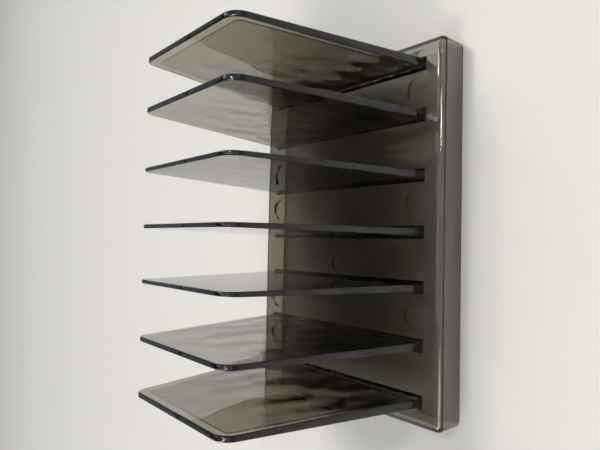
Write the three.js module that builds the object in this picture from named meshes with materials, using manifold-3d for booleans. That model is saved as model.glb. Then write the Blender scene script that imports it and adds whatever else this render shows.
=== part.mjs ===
// Desktop file sorter: a shallow open-bottomed tray of smoky clear plastic carrying seven upright
// dividers, with a thin panel on the outer face of each end divider.
// Millimetres, +Z up, the front faces -Y, the dividers stand one behind the other along X.
import * as THREE from "three";
import { mergeVertices } from "three/addons/utils/BufferGeometryUtils.js";
import Module from "manifold-3d";

// Tray
const TRAY_W = 274;
const TRAY_D = 196.5;
const TRAY_H = 23.2;
const WALL = 2.6;
const PLATE = 2.8;
const CORNER_R = 5;
const TOP_EDGE_IN = 6;
const TOP_EDGE_DOWN = 4;

// Dividers
const HEIGHT = 169;
const DIVIDER_X = [119.5, 83, 40, -0.5, -39.5, -80, -119];
const FOOT_LEN = 166;
const TOP_LEN = 112;
const THICK_TOP = 2.9;
const THICK_BOTTOM = 5.7;
const FRONT_R = 12;
const REAR_R = 8;
const EDGE_R = 0.8;

// Root of a divider: concave flare, and the tongue that sits in a groove of the tray
const FLARE_H = 5;
const FLARE_OUT = 1.9;
const FLARE_ENDS = 0.2;
const TONGUE_T = 3.6;
const TONGUE_DEPTH = 1.4;
const TONGUE_INSET = 4;
const GAP = 0.3;

// End panels
const PANEL_T = 0.8;
const PANEL_BORDER = 8.5;
const PANEL_BORDER_REAR = 5;
const PANEL_R = 5;
const PANEL_R_REAR = 3;

// Round ejector marks and gate mark, sunk into the underside of the tray plate
const MARK_DEPTH = 0.5;
const MARK_R = 9.2;
const MARK_X = [102, 21, -60];
const MARK_Y = [-76, 76];
const GATE_R = 7;
const GATE_AT = [-25.5, 0];

const FOOT_Z = TRAY_H + GAP;
const slope = (FOOT_LEN - TOP_LEN) / 2 / (HEIGHT - TRAY_H);
const halfLength = (z) => FOOT_LEN / 2 - slope * (z - TRAY_H);
const thickness = (z) => THICK_BOTTOM + (THICK_TOP - THICK_BOTTOM) * (z - TRAY_H) / (HEIGHT - TRAY_H);

const wasm = await Module();
wasm.setup();

function toManifold(geometry) {
  const g = geometry.clone();
  g.deleteAttribute("normal");
  g.deleteAttribute("uv");
  const m = mergeVertices(g, 1e-5);
  return new wasm.Manifold(new wasm.Mesh({
    numProp: 3,
    vertProperties: new Float32Array(m.attributes.position.array),
    triVerts: new Uint32Array(m.index.array),
  }));
}

function toGeometry(manifold) {
  const mesh = manifold.getMesh();
  const g = new THREE.BufferGeometry();
  g.setAttribute("position", new THREE.BufferAttribute(new Float32Array(mesh.vertProperties), 3));
  g.setIndex(new THREE.BufferAttribute(new Uint32Array(mesh.triVerts), 1));
  const flat = g.toNonIndexed();
  flat.computeVertexNormals();
  return flat;
}

// Closed ring of points of a rounded rectangle, counter-clockwise seen from above.
function roundedRect(halfX, halfY, radius, steps) {
  const r = Math.min(radius, halfX, halfY);
  const ring = [];
  [[1, 1, 0], [-1, 1, 90], [-1, -1, 180], [1, -1, 270]].forEach(([sx, sy, start]) => {
    for (let i = 0; i <= steps; i++) {
      const a = THREE.MathUtils.degToRad(start + 90 * i / steps);
      ring.push([sx * (halfX - r) + r * Math.cos(a), sy * (halfY - r) + r * Math.sin(a)]);
    }
  });
  return ring;
}

// Solid skin through a stack of rings of equal length, lowest first.
function loft(sections) {
  const n = sections[0].ring.length;
  const position = [];
  sections.forEach(({ ring, z }) => ring.forEach(([x, y]) => position.push(x, y, z)));
  const index = [];
  for (let s = 0; s < sections.length - 1; s++) {
    for (let i = 0; i < n; i++) {
      const j = (i + 1) % n;
      const a = s * n + i, b = s * n + j;
      index.push(a, b, b + n, a, b + n, a + n);
    }
  }
  const top = (sections.length - 1) * n;
  for (let i = 1; i < n - 1; i++) {
    index.push(0, i + 1, i);
    index.push(top, top + i, top + i + 1);
  }
  const g = new THREE.BufferGeometry();
  g.setAttribute("position", new THREE.Float32BufferAttribute(position, 3));
  g.setIndex(index);
  return g;
}

// Side view of a divider as a shape: u runs from front to rear, v runs upwards.
function dividerOutline(inset, rearInset, bottom, frontR, rearR) {
  const lean = Math.atan(slope);
  const reach = (z, border) => halfLength(z) - border / Math.cos(lean);
  const top = HEIGHT - inset;
  const front = reach(top - frontR, inset + frontR);
  const rear = reach(top - rearR, rearInset + rearR);
  const shape = new THREE.Shape();
  shape.moveTo(-reach(bottom, inset), bottom);
  shape.lineTo(reach(bottom, rearInset), bottom);
  shape.absarc(rear, top - rearR, rearR, lean, Math.PI / 2, false);
  shape.absarc(-front, top - frontR, frontR, Math.PI / 2, Math.PI - lean, false);
  shape.closePath();
  return shape;
}

// Sheet cut to a shape and rounded at its edges, lying in the Y-Z plane, centred on X = 0.
function sheet(shape, depth, edge) {
  const g = new THREE.ExtrudeGeometry(shape, {
    depth: depth - 2 * edge, bevelEnabled: true, bevelThickness: edge, bevelSize: edge,
    bevelOffset: -edge, bevelSegments: 2, curveSegments: 8,
  });
  g.translate(0, 0, edge - depth / 2);
  const p = g.attributes.position;
  for (let i = 0; i < p.count; i++) p.setXYZ(i, p.getZ(i), p.getX(i), p.getY(i));
  return g;
}

function mapX(geometry, fn) {
  const p = geometry.attributes.position;
  for (let i = 0; i < p.count; i++) p.setX(i, fn(p.getX(i), p.getZ(i)));
  return geometry;
}

function buildDivider() {
  const blade = mapX(
    sheet(dividerOutline(0, 0, FOOT_Z + 1, FRONT_R, REAR_R), THICK_TOP, EDGE_R),
    (x, z) => x * thickness(z) / THICK_TOP,
  );
  const sections = [];
  const steps = 4;
  for (let i = 0; i <= steps; i++) {
    const h = FLARE_H * (1 - Math.cos(Math.PI / 2 * i / steps));
    const out = FLARE_OUT * (1 - Math.sqrt(1 - (1 - h / FLARE_H) ** 2)) - 0.02;
    const z = FOOT_Z + h;
    const ring = roundedRect(thickness(z) / 2 + out, halfLength(z) + FLARE_ENDS * out, 1.4 + out, 3);
    sections.push({ z, ring });
  }
  const tongueRing = roundedRect(TONGUE_T / 2, FOOT_LEN / 2 - TONGUE_INSET, 1.2, 3);
  const tongue = loft([
    { ring: tongueRing, z: TRAY_H - TONGUE_DEPTH },
    { ring: tongueRing, z: FOOT_Z + 2 },
  ]);
  return toManifold(blade).add(toManifold(loft(sections))).add(toManifold(tongue));
}

function buildEndPanel(side) {
  const bottom = FOOT_Z + FLARE_H + PANEL_BORDER;
  const outline = dividerOutline(PANEL_BORDER, PANEL_BORDER_REAR, bottom, PANEL_R, PANEL_R_REAR);
  return toManifold(mapX(
    sheet(outline, PANEL_T, 0.3),
    (x, z) => x + side * (thickness(z) / 2 + GAP + PANEL_T / 2),
  ));
}

function buildTray() {
  const hx = TRAY_W / 2, hy = TRAY_D / 2;
  const outer = [
    { z: 0, ring: roundedRect(hx - 0.4, hy - 0.4, CORNER_R - 0.4, 6) },
    { z: 0.4, ring: roundedRect(hx, hy, CORNER_R, 6) },
  ];
  for (let i = 0; i <= 4; i++) {
    const a = Math.PI / 2 * i / 4;
    const inset = TOP_EDGE_IN * (1 - Math.cos(a));
    outer.push({
      z: TRAY_H - TOP_EDGE_DOWN * (1 - Math.sin(a)),
      ring: roundedRect(hx - inset, hy - inset, Math.max(CORNER_R - inset, 0.6), 6),
    });
  }
  const inner = [{ z: -1, ring: roundedRect(hx - WALL, hy - WALL, CORNER_R - WALL, 4) }];
  const under = TRAY_H - PLATE;
  for (let i = 0; i <= 4; i++) {
    const a = Math.PI / 2 * i / 4;
    const inset = WALL + 1.5 * (1 - Math.cos(a));
    inner.push({
      z: under - 1.5 * (1 - Math.sin(a)),
      ring: roundedRect(hx - inset, hy - inset, Math.max(CORNER_R - inset, 0.9), 4),
    });
  }
  let tray = toManifold(loft(outer)).subtract(toManifold(loft(inner)));

  const slotRing = roundedRect(TONGUE_T / 2 + GAP, FOOT_LEN / 2 - TONGUE_INSET + GAP, 1.5, 3);
  const slot = toManifold(loft([
    { ring: slotRing, z: TRAY_H - TONGUE_DEPTH - GAP },
    { ring: slotRing, z: TRAY_H + 1 },
  ]));
  DIVIDER_X.forEach((x) => { tray = tray.subtract(slot.translate([x, 0, 0])); });

  const ejectorMark = recess(MARK_R, MARK_DEPTH);
  MARK_X.forEach((x) => MARK_Y.forEach((y) => {
    tray = tray.subtract(ejectorMark.translate([x, y, under]));
  }));
  tray = tray.subtract(recess(GATE_R, MARK_DEPTH).translate([...GATE_AT, under]));
  return tray;
}

// Round cutter that reaches a little below z = 0, so that it opens a face at that level.
function recess(radius, depth) {
  const profile = [[0, -1], [radius, -1], [radius, depth], [0, depth]];
  const g = new THREE.LatheGeometry(profile.map(([r, z]) => new THREE.Vector2(r, z)), 32);
  g.rotateX(Math.PI / 2);
  return toManifold(g);
}

const group = new THREE.Group();
group.name = "desktop_file_sorter";

function addNode(name, manifold, material) {
  const mesh = new THREE.Mesh(toGeometry(manifold), new THREE.MeshStandardMaterial(material));
  mesh.name = name;
  group.add(mesh);
}

const SMOKE = { color: 0x4b4742, roughness: 0.08, metalness: 0 };
const SMOKE_PANEL = { color: 0x55504a, roughness: 0.1, metalness: 0 };

addNode("base_tray", buildTray(), SMOKE);
const divider = buildDivider();
DIVIDER_X.forEach((x, i) => addNode(`divider_${i + 1}`, divider.translate([x, 0, 0]), SMOKE));
addNode("end_panel_right", buildEndPanel(1).translate([DIVIDER_X[0], 0, 0]), SMOKE_PANEL);
addNode("end_panel_left", buildEndPanel(-1).translate([DIVIDER_X[6], 0, 0]), SMOKE_PANEL);

export default group;
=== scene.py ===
import math

import bmesh
import bpy
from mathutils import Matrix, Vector, noise
from mathutils.geometry import delaunay_2d_cdt


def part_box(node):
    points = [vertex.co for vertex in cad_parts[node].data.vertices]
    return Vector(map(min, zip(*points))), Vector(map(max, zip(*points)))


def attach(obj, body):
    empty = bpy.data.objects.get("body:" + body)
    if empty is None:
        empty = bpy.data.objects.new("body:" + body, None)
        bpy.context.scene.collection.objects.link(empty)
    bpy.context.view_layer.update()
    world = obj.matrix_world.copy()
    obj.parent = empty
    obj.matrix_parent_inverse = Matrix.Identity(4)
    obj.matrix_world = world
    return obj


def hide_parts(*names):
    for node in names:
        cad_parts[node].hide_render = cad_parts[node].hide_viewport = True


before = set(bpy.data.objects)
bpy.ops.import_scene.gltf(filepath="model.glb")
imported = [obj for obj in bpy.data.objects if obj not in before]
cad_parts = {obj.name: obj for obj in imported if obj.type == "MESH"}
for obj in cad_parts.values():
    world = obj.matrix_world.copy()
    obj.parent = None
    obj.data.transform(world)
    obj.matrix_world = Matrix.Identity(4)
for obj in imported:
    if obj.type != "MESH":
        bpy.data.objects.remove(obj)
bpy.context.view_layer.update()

scene = bpy.context.scene
MM = 0.001

# ------------------------------------------------------------------ shape of the sorter, in millimetres
# Tray
HALF_X, HALF_Y, TRAY_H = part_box("base_tray")[1] / MM
WALL, PLATE = 2.6, 2.8
UNDER = TRAY_H - PLATE
CORNER_R = 5.0
EDGE_IN, EDGE_DOWN = 6.0, 4.0
FILLET_R = 1.5
RIM_R, RIM_BEVEL = 0.5, 0.15

# Round ejector marks and gate mark, sunk into the underside of the plate: centre and radius
MARKS = [(x, y, 9.2) for x in (102, 21, -60) for y in (-76, 76)] + [(-25.5, 0, 7.0)]
MARK_DEPTH, MARK_STEP = 0.27, 0.35

# Dividers
DIVIDERS = range(1, 8)
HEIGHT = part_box("divider_1")[1].z / MM
BOND_GAP = 0.06
FOOT_Z = TRAY_H + BOND_GAP
FOOT_LEN, TOP_LEN = 166.0, 112.0
THICK_TOP, THICK_BOTTOM = 2.9, 5.7
FRONT_R, REAR_R = 12.0, 8.0
EDGE_R = 0.9
FLARE_H, FLARE_OUT, FLARE_ENDS = 5.0, 1.9, 0.2

# Knit mark: a fine groove across the top edge, where two streams of plastic met in the mould
KNIT_Y, KNIT_HALF_WIDTH, KNIT_DEPTH = -8.5, 0.35, 0.22

# How wavy each divider is, and how much thicker it is on each face, divider_1 first
WAVINESS = (1.0, 0.8, 0.35, 0.35, 0.35, 0.6, 1.0)
EXTRA = (0.4, 0.4, 0.0, 0.0, 0.0, 0.25, 0.4)

# Long and short waves: their lengths along Y and along Z, their height at the top of a divider and
# what is added to it at the foot
LONG_Y, LONG_Z, LONG_TOP, LONG_FOOT = 17, 26, 0.03, 0.56
SHORT_Y, SHORT_Z, SHORT_TOP, SHORT_FOOT = 8, 7, 0.008, 0.08

# The waves die out towards the edges: how far from the edge they start, and how far they take to grow
WAVE_INSET, WAVE_GROW, WAVE_GROW_FOOT = 2, 9, 8

# End panels
PANEL_T, PANEL_EDGE, PANEL_GAP = 0.6, 0.22, 0.12
PANEL_BORDER, PANEL_BORDER_REAR = 8.5, 5.0
PANEL_R, PANEL_R_REAR = 5.0, 3.0
PANEL_FOOT = FOOT_Z + FLARE_H + PANEL_BORDER
PANEL_WAVINESS = 0.1

# Spacing of the mesh points: along an outline, over a face, over the tray's plate
PATH_STEP, FACE_STEP, PLATE_STEP = 3.0, 3.2, 5.0
MARK_SIDES = 40

# Rows of points that follow the flare at a divider's foot: heights on its edge and on its face
EDGE_ROWS = [0.25, 0.7, 1.3, 2.1, 3.0, 4.0, 5.0]
FACE_ROWS = [0.35, 0.9, 1.7, 2.7, 3.9, 5.2]
ROW_STEP, ROW_INSET, ROWS_END = 2.6, 2.2, 6.5

SLOPE = (FOOT_LEN - TOP_LEN) / 2 / (HEIGHT - TRAY_H)
LEAN = math.atan(SLOPE)


def half_length(z):
    return FOOT_LEN / 2 - SLOPE * (z - TRAY_H)


def half_thickness(z):
    return (THICK_BOTTOM + (THICK_TOP - THICK_BOTTOM) * (z - TRAY_H) / (HEIGHT - TRAY_H)) / 2


def clamp(t):
    return min(max(t, 0.0), 1.0)


def flare(z):
    """How far a divider's foot curves out at a height."""
    t = clamp((z - FOOT_Z) / FLARE_H)
    return FLARE_OUT * (1 - math.sqrt(1 - (1 - t) ** 2))


def wave(y, z, seed, strength):
    """How far a moulded face stands out of flat: long soft waves and short ones, stronger low down."""
    low = clamp(1 - (z - FOOT_Z) / (HEIGHT - FOOT_Z))
    long_wave = noise.noise(Vector((y / LONG_Y + 31 * seed, z / LONG_Z, 5.3 * seed)))
    short_wave = noise.noise(Vector((y / SHORT_Y - 17 * seed, z / SHORT_Z, 9.1 * seed)))
    long_height = LONG_TOP + LONG_FOOT * low ** 1.5
    short_height = SHORT_TOP + SHORT_FOOT * low
    return strength * (long_wave * long_height + short_wave * short_height)


# ------------------------------------------------------------------ mesh helpers
def steps(a, b, size):
    n = max(1, round(abs(b - a) / size))
    return [a + (b - a) * i / n for i in range(n + 1)]


def quarter(n):
    """Angles from 0 to a quarter turn."""
    return [math.pi / 2 * i / n for i in range(n + 1)]


def fill(loop, inner):
    """Triangles over a closed loop of 2-D points and the points inside it, as indices into loop + inner."""
    points = [Vector(p) for p in loop + inner]
    n = len(loop)
    out = delaunay_2d_cdt(points, [(i, (i + 1) % n) for i in range(n)], [], 1, 1e-5)
    origin = [o[0] for o in out[3]]
    return [[origin[v] for v in f] for f in out[2]]


def inside_distance(p, loop):
    """Distance from a point to a loop, negative outside."""
    best, odd = 1e9, False
    for (x0, y0), (x1, y1) in zip(loop, loop[1:] + loop[:1]):
        dx, dy = x1 - x0, y1 - y0
        t = clamp(((p[0] - x0) * dx + (p[1] - y0) * dy) / (dx * dx + dy * dy))
        best = min(best, math.hypot(p[0] - x0 - t * dx, p[1] - y0 - t * dy))
        if (y0 > p[1]) != (y1 > p[1]) and p[0] < x0 + (p[1] - y0) * dx / dy:
            odd = not odd
    return best if odd else -best


def grid(loop, size, margin):
    """Staggered points inside a loop, at least margin from it."""
    us, vs = [p[0] for p in loop], [p[1] for p in loop]
    out = []
    for row, v in enumerate(steps(min(vs), max(vs), size * 0.87)):
        for u in steps(min(us), max(us), size):
            p = (u + (row % 2) * size / 2, v)
            if inside_distance(p, loop) > margin:
                out.append(p)
    return out


def make_piece(name, verts, faces, material):
    """A smooth closed mesh from points in millimetres."""
    bm = bmesh.new()
    vs = [bm.verts.new(Vector(v) * MM) for v in verts]
    for f in faces:
        bm.faces.new([vs[i] for i in f]).smooth = True
    bmesh.ops.recalc_face_normals(bm, faces=bm.faces)
    me = bpy.data.meshes.new(name)
    bm.to_mesh(me)
    bm.free()
    me.materials.append(material)
    ob = bpy.data.objects.new(name, me)
    scene.collection.objects.link(ob)
    return ob


# ------------------------------------------------------------------ dividers and end panels
def corner(centre_y, centre_z, radius, start, end, count):
    """Points round a corner, each with its outward direction."""
    turn = [start - (start - end) * i / count for i in range(count + 1)]
    return [((centre_y + radius * math.cos(a), centre_z + radius * math.sin(a)),
             (math.cos(a), math.sin(a))) for a in turn]


def outline(border, rear_border, bottom, front_r, rear_r, step):
    """Side view from the foot of the front edge, over the top, to the foot of the rear edge, and for a
    panel back along its bottom. Each entry is a point and its outward direction."""
    top = HEIGHT - border
    is_panel = border > 0

    def edge(z, inset=border):
        return half_length(z) - inset / math.cos(LEAN)

    front = corner(-edge(top - front_r, border + front_r), top - front_r, front_r,
                   math.pi - LEAN, math.pi / 2, 14)
    rear = corner(edge(top - rear_r, rear_border + rear_r), top - rear_r, rear_r,
                  math.pi / 2, LEAN, 12)
    foot = [bottom] + ([] if is_panel else [bottom + h for h in EDGE_ROWS])
    start = foot[-1] + step * 0.6
    up = foot + steps(start, front[0][0][1] - step * 0.6, step)
    down = foot + steps(start, rear[-1][0][1] - step * 0.6, step)
    knit = [] if is_panel else [KNIT_Y + d for d in (-0.5, -0.2, 0, 0.2, 0.5)]
    plain = [y for y in steps(front[-1][0][0], rear[0][0][0], step)[1:-1]
             if all(abs(y - k) > 1.0 for k in knit)]

    out = 1 / math.cos(LEAN)
    path = [((-edge(z), z), (-out, 0)) for z in up] + front
    path += [((y, top), (0, 1)) for y in sorted(plain + knit)] + rear
    path += [((edge(z, rear_border), z), (out, 0)) for z in reversed(down)]
    if is_panel:
        path[0] = (path[0][0], (-out, -1))
        path[-1] = (path[-1][0], (out, -1))
        along = steps(edge(bottom, rear_border), -edge(bottom), step)[1:-1]
        path += [((y, bottom), (0, -1)) for y in along]
    return path


def sheet_plan(path, closed, edge_r, size):
    """Where the points of a sheet's face lie in side view, and its triangles. Both faces share it."""
    border = [(y - ny * edge_r, z - nz * edge_r) for (y, z), (ny, nz) in path]
    tight = [(y - ny * (edge_r + 0.25), z - nz * (edge_r + 0.25)) for (y, z), (ny, nz) in path]
    if closed:
        foot, rows, low = [], [], 0.0
    else:
        z0 = path[0][0][1]
        foot = [(y, z0) for y in steps(border[-1][0], border[0][0], size)[1:-1]]
        rows = [(y, z) for z in (z0 + h for h in FACE_ROWS)
                for y in steps(-half_length(z) + ROW_INSET, half_length(z) - ROW_INSET, ROW_STEP)]
        low = z0 + ROWS_END
    loop = border + foot
    inner = [p for p in tight if inside_distance(p, loop) > 0.1] + rows
    inner += [p for p in grid(loop, size, size * 0.45) if p[1] > low]
    return {"path": path, "closed": closed, "edge_r": edge_r, "foot": len(foot),
            "points": foot + inner, "faces": fill(loop, inner)}


def sheet_piece(name, material, plan, face_x, dent=None):
    """A sheet in the Y-Z plane with rounded edges. face_x(y, z, side) gives its two faces,
    dent(y, z) how far the edge is pushed in."""
    path, closed, r = plan["path"], plan["closed"], plan["edge_r"]
    turns = quarter(4)
    verts, faces, loops = [], [], []
    for side, t in [(-1, t) for t in turns] + [(1, t) for t in reversed(turns)]:
        row = []
        for (y, z), (ny, nz) in path:
            inset = r * (1 - math.sin(t)) + (dent(y, z) * math.sin(t) if dent else 0)
            py, pz = y - ny * inset, z - nz * inset
            ends = 0 if closed else FLARE_ENDS * flare(z) * math.copysign(1, y)
            row.append(len(verts))
            verts.append((face_x(py, pz, side) - side * r * (1 - math.cos(t)), py + ends, pz))
        loops.append(row)
    n = len(path)
    for a, b in zip(loops, loops[1:]):
        for i in range(n if closed else n - 1):
            j = (i + 1) % n
            faces.append((a[i], a[j], b[j], b[i]))
    rims = []
    for side, row in ((-1, loops[0]), (1, loops[-1])):
        ids = row + list(range(len(verts), len(verts) + len(plan["points"])))
        verts.extend((face_x(y, z, side), y, z) for y, z in plan["points"])
        faces.extend(tuple(ids[i] for i in f) for f in plan["faces"])
        rims.append(row[-1:] + ids[n:n + plan["foot"]] + row[:1])
    if not closed:
        for (a, b), (c, d) in zip(zip(rims[0], rims[0][1:]), zip(rims[1], rims[1][1:])):
            faces.append((a, b, d, c))
        faces.extend(tuple(row[end] for row in loops) for end in (0, n - 1))
    return make_piece(name, verts, faces, material)


def build_divider(name, x0, seed, material):
    """A divider, and the function that gives its faces, for the panel that lies on it."""
    def face_x(y, z, side):
        from_end = max(0.0, half_length(z) - WAVE_INSET - abs(y))
        from_top = max(0.0, HEIGHT - WAVE_INSET - z)
        fade = min(1.0, from_end / WAVE_GROW, from_top / WAVE_GROW)
        rise = min(1.0, (z - FOOT_Z) / WAVE_GROW_FOOT + 0.15)
        w = wave(y, z, seed + 0.5 * side, WAVINESS[seed - 1]) * fade * rise
        return x0 + side * (half_thickness(z) + EXTRA[seed - 1] + flare(z) + w)

    def dent(y, z):
        return KNIT_DEPTH * max(0.0, 1 - abs(y - KNIT_Y) / KNIT_HALF_WIDTH) if z > HEIGHT - 1 else 0.0

    return sheet_piece(name, material, blade_plan, face_x, dent), face_x


def build_end_panel(name, side, divider_face, material):
    def face_x(y, z, s):
        inner = divider_face(y, z, side) + side * PANEL_GAP
        if s == side:
            return inner + side * (PANEL_T + PANEL_WAVINESS * wave(y, z, 7.7 + side, 1.0))
        return inner

    return sheet_piece(name, material, panel_plan, face_x)


blade_path = outline(0, 0, FOOT_Z, FRONT_R, REAR_R, PATH_STEP)
blade_plan = sheet_plan(blade_path, False, EDGE_R, FACE_STEP)
panel_path = outline(PANEL_BORDER, PANEL_BORDER_REAR, PANEL_FOOT, PANEL_R, PANEL_R_REAR, PATH_STEP)
panel_plan = sheet_plan(panel_path, True, PANEL_EDGE, FACE_STEP)


# ------------------------------------------------------------------ tray
def rounded_rect(inset, radius):
    """Ring of points round the tray, counter-clockwise seen from above. Each ring has as many points
    as the next, with 60 steps along a long side and 44 along a short one."""
    hx, hy, r = HALF_X - inset, HALF_Y - inset, max(radius, 0.6)
    long_side, short_side = 2 * (hx - r), 2 * (hy - r)
    ring = []
    for sx, sy, start, dx, dy, length, n in (
            (1, 1, 0, -1, 0, long_side, 60), (-1, 1, 90, 0, -1, short_side, 44),
            (-1, -1, 180, 1, 0, long_side, 60), (1, -1, 270, 0, 1, short_side, 44)):
        arc = [math.radians(start + 90 * i / 7) for i in range(8)]
        ring += [(sx * (hx - r) + r * math.cos(a), sy * (hy - r) + r * math.sin(a)) for a in arc]
        x, y = ring[-1]
        ring += [(x + dx * length * i / n, y + dy * length * i / n) for i in range(1, n)]
    return ring


def mark_depth(x, y):
    """How deep the underside of the plate is sunk, at the ejector marks and the gate mark."""
    edge = max(r - math.hypot(x - cx, y - cy) for cx, cy, r in MARKS)
    return MARK_DEPTH * clamp(edge / MARK_STEP)


def circle(x, y, r):
    turn = [2 * math.pi * i / MARK_SIDES for i in range(MARK_SIDES)]
    return [(x + r * math.cos(a), y + r * math.sin(a)) for a in turn]


def build_tray(material):
    """One skin through rings of points, from under the plate down the inside of the walls, round the
    rim, and up the outside to the top of the plate. A ring is how far it is inset, and its height."""
    walls = (3, 9, 15)
    rings = [(WALL + FILLET_R + 0.2, UNDER), (WALL + FILLET_R, UNDER)]
    rings += [(WALL + FILLET_R * (1 - math.cos(a)), UNDER - FILLET_R * (1 - math.sin(a)))
              for a in reversed(quarter(5)[:-1])]
    rings += [(WALL, z) for z in reversed(walls)]
    rings += [(WALL, RIM_R), (WALL - RIM_BEVEL, RIM_BEVEL), (WALL - RIM_R, 0)]
    rings += [(RIM_R, 0), (RIM_BEVEL, RIM_BEVEL), (0, RIM_R)]
    rings += [(0, z) for z in walls]
    rings += [(EDGE_IN * (1 - math.cos(a)), TRAY_H - EDGE_DOWN * (1 - math.sin(a))) for a in quarter(12)]
    rings += [(EDGE_IN + 0.3, TRAY_H)]
    verts, faces = [], []
    for inset, z in rings:
        verts += [(x, y, z) for x, y in rounded_rect(inset, CORNER_R - inset)]
    n = len(verts) // len(rings)
    for k in range(len(rings) - 1):
        for i in range(n):
            a, b = k * n + i, k * n + (i + 1) % n
            faces.append((a, b, b + n, a + n))

    def cap(ring, inner, heights):
        base = list(range(ring * n, ring * n + n))
        ids = base + list(range(len(verts), len(verts) + len(inner)))
        loop = [verts[i][:2] for i in base]
        verts.extend((x, y, z) for (x, y), z in zip(inner, heights))
        faces.extend(tuple(ids[i] for i in f) for f in fill(loop, inner))

    def plate_points(ring):
        return grid([v[:2] for v in verts[ring * n:ring * n + n]], PLATE_STEP, 2.0)

    def clear_of_marks(p):
        return all(abs(math.hypot(p[0] - x, p[1] - y) - r + 0.4) > 1.6 for x, y, r in MARKS)

    below = [p for p in plate_points(0) if clear_of_marks(p)]
    below += [p for x, y, r in MARKS for inset in (0, MARK_STEP, MARK_STEP + 0.4)
              for p in circle(x, y, r - inset)]
    cap(0, below, [UNDER + mark_depth(x, y) for x, y in below])
    last = len(rings) - 1
    above = plate_points(last)
    cap(last, above, [TRAY_H] * len(above))
    return make_piece("tray", verts, faces, material)


# ------------------------------------------------------------------ materials
SMOKE_DENSITY = 250.0
SMOKE_TINT = (0.24, 0.16, 0.0)


def new_material(name):
    mat = bpy.data.materials.new(name)
    mat.use_nodes = True
    return mat, mat.node_tree, mat.node_tree.nodes["Principled BSDF"]


def noise_node(nt, coord, scale, detail):
    node = nt.nodes.new("ShaderNodeTexNoise")
    node.inputs["Scale"].default_value = scale
    node.inputs["Detail"].default_value = detail
    nt.links.new(coord.outputs["Object"], node.inputs["Vector"])
    return node


def smoke(name):
    """Clear plastic with a smoke tint in its volume and faint handling marks in its gloss."""
    mat, nt, bsdf = new_material(name)
    bsdf.inputs["Base Color"].default_value = (1, 1, 1, 1)
    bsdf.inputs["IOR"].default_value = 1.57
    bsdf.inputs["Transmission Weight"].default_value = 1.0
    volume = nt.nodes.new("ShaderNodeVolumeAbsorption")
    volume.inputs["Color"].default_value = (*SMOKE_TINT, 1)
    volume.inputs["Density"].default_value = SMOKE_DENSITY
    nt.links.new(volume.outputs["Volume"], nt.nodes["Material Output"].inputs["Volume"])
    coord = nt.nodes.new("ShaderNodeTexCoord")
    smudge = noise_node(nt, coord, 45, 4)
    gloss = nt.nodes.new("ShaderNodeMapRange")
    gloss.inputs["From Min"].default_value = 0.45
    gloss.inputs["From Max"].default_value = 0.75
    gloss.inputs["To Min"].default_value = 0.015
    gloss.inputs["To Max"].default_value = 0.05
    nt.links.new(smudge.outputs["Fac"], gloss.inputs["Value"])
    nt.links.new(gloss.outputs["Result"], bsdf.inputs["Roughness"])
    ripple = noise_node(nt, coord, 130, 2)
    bump = nt.nodes.new("ShaderNodeBump")
    bump.inputs["Strength"].default_value = 0.06
    bump.inputs["Distance"].default_value = 0.0004
    nt.links.new(ripple.outputs["Fac"], bump.inputs["Height"])
    nt.links.new(bump.outputs["Normal"], bsdf.inputs["Normal"])
    return mat


plastic = smoke("smoke_plastic")
plastic_panel = smoke("smoke_panel")

# ------------------------------------------------------------------ the sorter
tray = build_tray(plastic)
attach(tray, "root")
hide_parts("base_tray")

divider_face = {}
for i in DIVIDERS:
    lo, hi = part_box(f"divider_{i}")
    blade, divider_face[i] = build_divider(f"divider_blade_{i}", (lo.x + hi.x) / 2 / MM, i, plastic)
    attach(blade, "root")
    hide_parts(f"divider_{i}")

for node, side, i in (("end_panel_right", 1, 1), ("end_panel_left", -1, 7)):
    panel = build_end_panel(node + "_sheet", side, divider_face[i], plastic_panel)
    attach(panel, "root")
    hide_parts(node)

# ------------------------------------------------------------------ floor, in metres
FLOOR_R, FLOOR_SIDES = 2.6, 96
me = bpy.data.meshes.new("floor")
turn = [2 * math.pi * i / FLOOR_SIDES for i in range(FLOOR_SIDES)]
me.from_pydata([(FLOOR_R * math.cos(a), FLOOR_R * math.sin(a), 0) for a in turn], [], [range(FLOOR_SIDES)])
floor = bpy.data.objects.new("floor", me)
scene.collection.objects.link(floor)
floor_material, _, floor_bsdf = new_material("floor_surface")
floor_bsdf.inputs["Base Color"].default_value = (0.80, 0.775, 0.725, 1)
floor_bsdf.inputs["Roughness"].default_value = 0.6
me.materials.append(floor_material)

# ------------------------------------------------------------------ room
# Seen only by the camera and in reflections. A level of the ramp is the sine of the angle above the
# horizon, and each has the room's colour there.
ROOM_COLOURS = (
    (0.52, (0.38, 0.41, 0.44)),
    (0.60, (0.03, 0.033, 0.036)),
    (0.84, (0.0324, 0.0342, 0.036)),
    (0.92, (0.54, 0.57, 0.6)),
)
world = bpy.data.worlds.new("world")
world.use_nodes = True
background = world.node_tree.nodes["Background"]
direction = world.node_tree.nodes.new("ShaderNodeTexCoord")
parts = world.node_tree.nodes.new("ShaderNodeSeparateXYZ")
ramp = world.node_tree.nodes.new("ShaderNodeValToRGB")
world.node_tree.links.new(direction.outputs["Generated"], parts.inputs["Vector"])
world.node_tree.links.new(parts.outputs["Z"], ramp.inputs["Fac"])
world.node_tree.links.new(ramp.outputs["Color"], background.inputs["Color"])
stops = ramp.color_ramp.elements
while len(stops) < len(ROOM_COLOURS):
    stops.new(1.0)
for stop, (level, colour) in zip(stops, ROOM_COLOURS):
    stop.position = level
    stop.color = (*colour, 1)
for ray in ("diffuse", "transmission", "scatter"):
    setattr(world.cycles_visibility, ray, False)
scene.world = world


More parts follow.
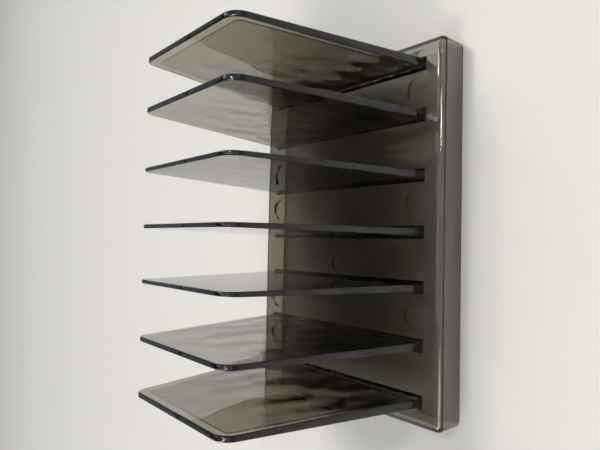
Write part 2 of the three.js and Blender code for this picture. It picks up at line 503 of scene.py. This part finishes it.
# ------------------------------------------------------------------ lights
def light_panel(name, azimuth, elevation, radiance, width, height, distance=2.5, color=(1, 1, 1)):
    """A soft panel that faces the object. Azimuth runs from +X towards +Y, lengths are in metres."""
    az, el = math.radians(azimuth), math.radians(elevation)
    loc = distance * Vector((math.cos(el) * math.cos(az), math.cos(el) * math.sin(az), math.sin(el)))
    data = bpy.data.lights.new(name, "AREA")
    data.shape = "RECTANGLE"
    data.size, data.size_y = width, height
    data.energy = radiance * math.pi * width * height
    data.color = color
    ob = bpy.data.objects.new(name, data)
    scene.collection.objects.link(ob)
    ob.location = loc
    ob.rotation_euler = (-loc).to_track_quat("-Z", "Y").to_euler()
    return ob


key = light_panel("key", 45, 63, 15.2, 0.83, 0.44)
key.visible_glossy = False
light_panel("key_core", 41, 61, 26, 0.2, 0.2)
light_panel("key_low", 45, 55, 2.54, 1.13, 0.44)
light_panel("left", 180, 45, 14.8, 1.11, 0.44)
light_panel("left_front", 225, 55, 6.9, 1.13, 0.44)
light_panel("right_front", 315, 65, 33.0, 0.12, 0.12, 1.0)
light_panel("right_back", 36, 45, 4.0, 1.11, 0.44)
light_panel("left_back", 144, 45, 2.1, 1.11, 0.44)
light_panel("top", 0, 90, 0.97, 0.5, 0.5, 1.3)
room_front = light_panel("room_front", 272, 52, 0.75, 4.4, 2.4, 3.0, (0.84, 0.93, 1.0))
room_front.visible_diffuse = False
room_front.visible_transmission = False

# ------------------------------------------------------------------ camera
cam_data = bpy.data.cameras.new("camera")
cam_data.sensor_fit = "HORIZONTAL"
cam_data.sensor_width = 36.0
cam_data.lens = 30.246
cam_data.shift_x = 0.0022
cam_data.shift_y = 0.0019
cam = bpy.data.objects.new("camera", cam_data)
scene.collection.objects.link(cam)
cam.location = (-0.010192, -0.291042, 0.321539)
cam.rotation_euler = [math.radians(a) for a in (3.359, 48.803, -88.132)]
scene.camera = cam

scene.view_settings.view_transform = "Standard"
scene.cycles.max_bounces = 40
scene.cycles.transmission_bounces = 40
scene.cycles.glossy_bounces = 8
